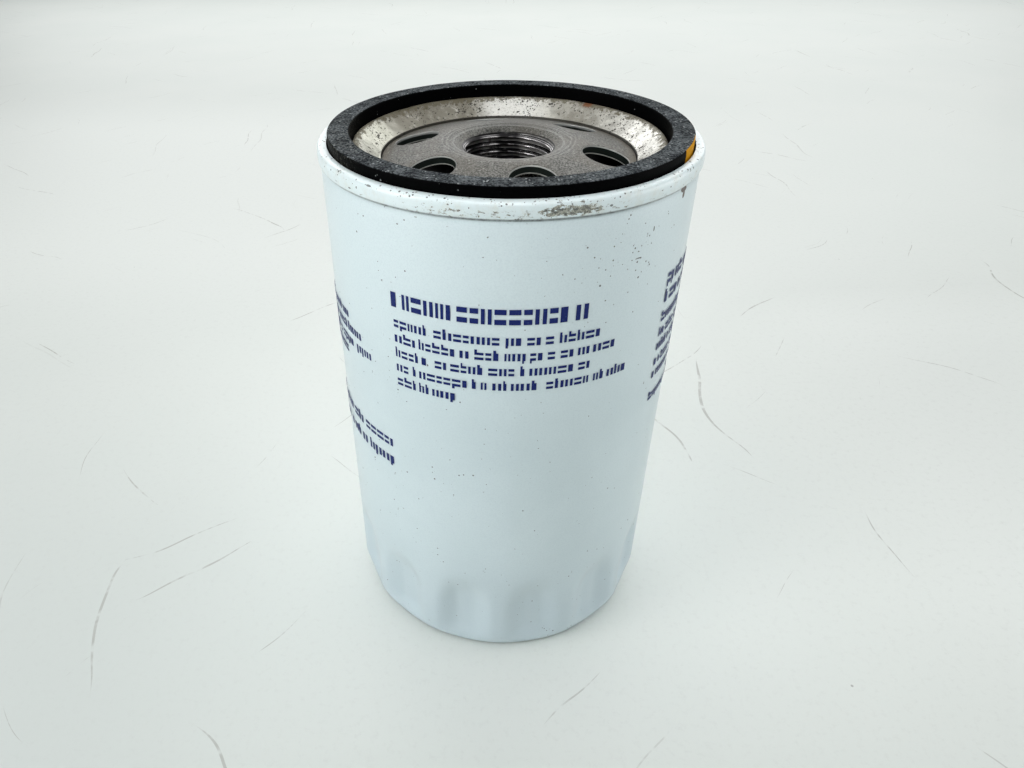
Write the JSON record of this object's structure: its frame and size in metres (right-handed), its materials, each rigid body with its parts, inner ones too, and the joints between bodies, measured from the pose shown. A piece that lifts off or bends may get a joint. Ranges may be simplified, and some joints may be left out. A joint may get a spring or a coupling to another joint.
{
  "type": "oil filter",
  "caption": "Spin-on oil filter cartridge: painted steel can with a fluted end, domed threaded outlet plate with six inlet holes, and a square-cut rubber sealing ring.",
  "frame": {"origin": "centre of the can's closed end, at the height of the face it stands on", "axes": "+Z along the filter's axis, from the closed end to the threaded end; -Y is the printed front"},
  "size_m": [0.0772, 0.0772, 0.1206],
  "materials": {
    "paint": "semi-gloss pale blue-grey enamel",
    "tinned_steel": "bright tinned sheet",
    "phosphated_steel": "dull grey phosphate, oiled",
    "black_rubber": "moulded rubber, square cut",
    "spring_steel": "oiled spring steel",
    "filter_paper": "resin-treated cellulose paper",
    "adhesive": "cured plastisol"
  },
  "bodies": {
    "housing": {"can": "paint", "seaming_cover": "tinned_steel", "base_plate": "phosphated_steel", "element_support_spring": "spring_steel"},
    "sealing_ring": {"gasket": "black_rubber"},
    "element": {"upper_end_cap": "tinned_steel", "upper_potting": "adhesive", "pleated_media": "filter_paper", "media_seam_clip": "tinned_steel", "centre_tube": "tinned_steel", "lower_potting": "adhesive", "lower_end_cap": "tinned_steel", "bypass_seat": "tinned_steel", "bypass_housing": "tinned_steel", "bypass_spring": "spring_steel", "anti_drain_spring": "spring_steel"},
    "drain_valve": {"anti_drain_valve": "black_rubber"},
    "relief_valve": {"bypass_poppet": "tinned_steel", "bypass_guide_pin": "spring_steel", "bypass_seal": "black_rubber"}
  },
  "joints": [
    {"name": "gasket_lift", "type": "slide", "parent": "housing", "child": "sealing_ring", "axis": [0, 0, 1], "range_m": [0, 0.008]},
    {"name": "element_float", "type": "slide", "parent": "housing", "child": "element", "axis": [0, 0, -1], "range_m": [0, 0.0015], "stiffness_N_per_m": 20000, "springref_m": -0.004, "deforming": ["element_support_spring"]},
    {"name": "drain_valve_lift", "type": "slide", "parent": "element", "child": "drain_valve", "axis": [0, 0, -1], "range_m": [0, 0.0012], "stiffness_N_per_m": 500, "springref_m": -0.002, "deforming": ["anti_drain_spring"]},
    {"name": "relief_valve_lift", "type": "slide", "parent": "element", "child": "relief_valve", "axis": [0, 0, 1], "range_m": [0, 0.003], "stiffness_N_per_m": 4000, "springref_m": -0.005, "deforming": ["bypass_spring"]}
  ]
}
